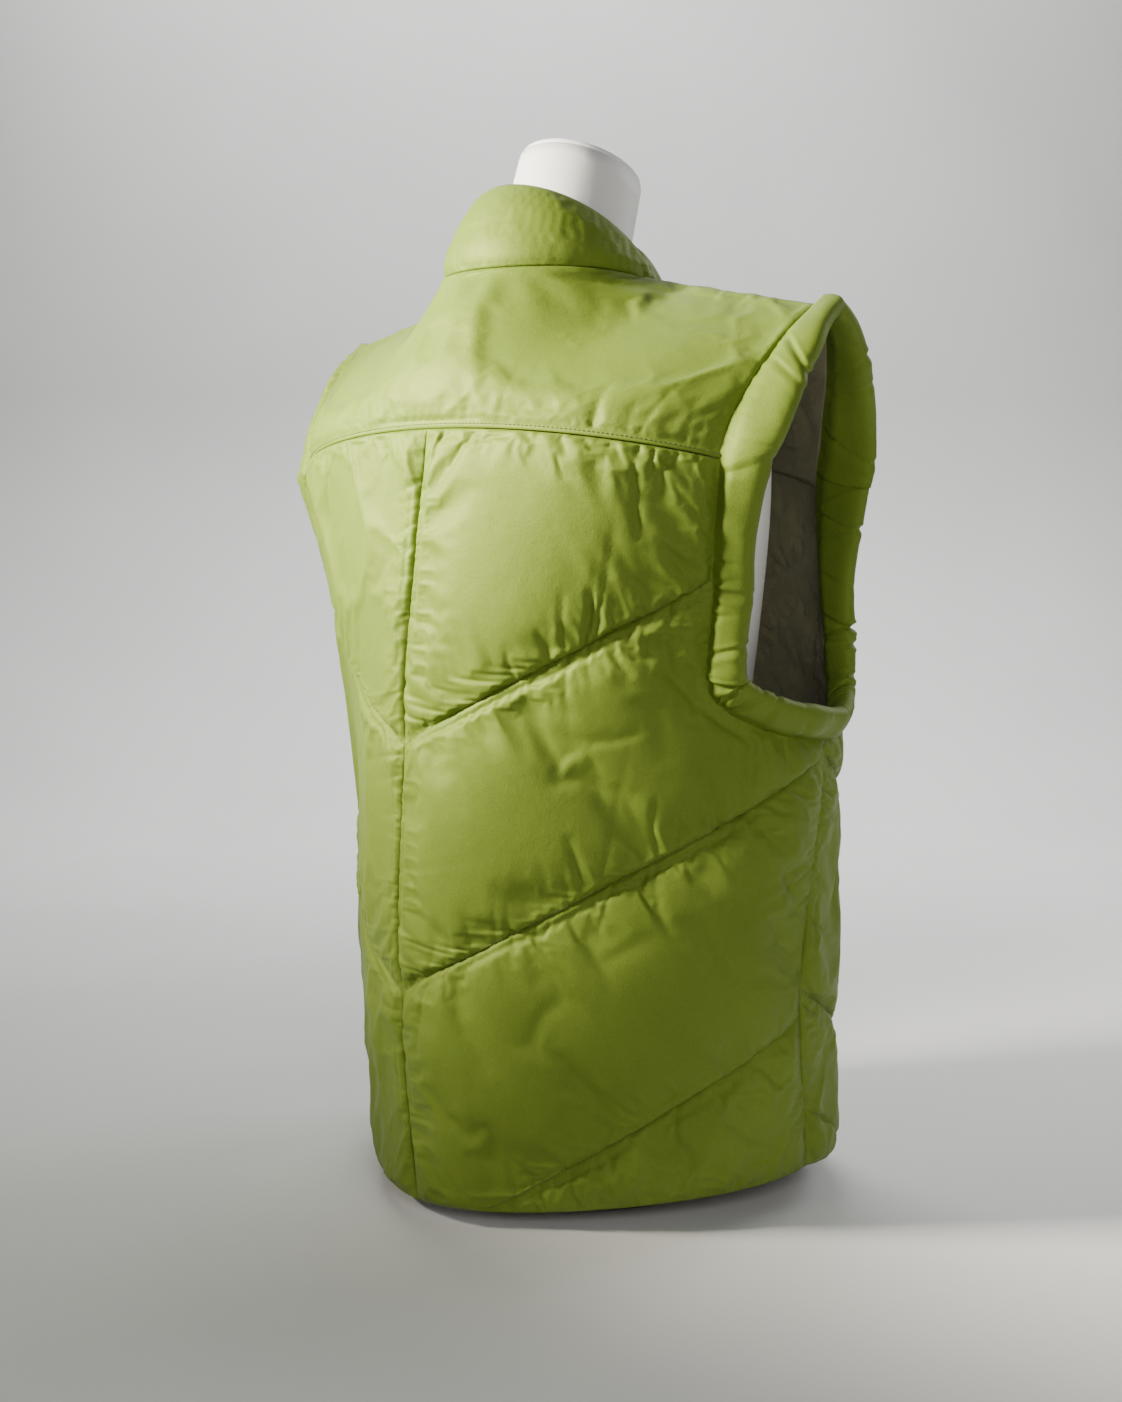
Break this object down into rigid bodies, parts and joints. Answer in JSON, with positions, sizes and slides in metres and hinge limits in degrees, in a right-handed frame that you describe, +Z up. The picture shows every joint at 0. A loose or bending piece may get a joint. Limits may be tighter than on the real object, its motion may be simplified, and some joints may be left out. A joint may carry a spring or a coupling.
{
  "type": "quilted puffer vest on a limbless dress form with a stand",
  "caption": "Sleeveless padded vest with a stand collar, quilted in slanting chambers, zipped in front and worn by a limbless dress form on a plate stand.",
  "frame": {"origin": "on the flat underside of the stand's plate, under the middle of the collar seam", "axes": "+Z up, -Y towards the wearer's front, -X towards the wearer's right"},
  "size_m": [0.5229, 0.3715, 0.8134],
  "materials": {
    "olive_shell": "satin woven polyester",
    "form_white": "matte",
    "stand_dark": "satin",
    "zip_tape": "matte woven tape",
    "zip_metal": "satin"
  },
  "bodies": {
    "vest_and_stand": {"back_yoke": "olive_shell", "back_right": "olive_shell", "back_left": "olive_shell", "front_right": "olive_shell", "front_left": "olive_shell", "front_yoke_right": "olive_shell", "front_yoke_left": "olive_shell", "collar": "olive_shell", "band_right_back": "olive_shell", "band_right_front": "olive_shell", "band_left_back": "olive_shell", "band_left_front": "olive_shell", "zip_tape_right": "zip_tape", "zip_tape_left": "zip_tape", "zip_chain": "zip_tape", "zip_slider": "zip_metal", "form_torso": "form_white", "form_cap": "form_white", "stand_pole": "stand_dark", "stand_base": "stand_dark"},
    "pull": {"zip_pull": "zip_metal"}
  },
  "joints": [
    {"name": "zip_pull_swing", "type": "hinge", "parent": "vest_and_stand", "child": "pull", "pos_m": [0, -0.08875, 0.68896], "axis": [-1, 0, 0], "range_deg": [0, 138]}
  ]
}
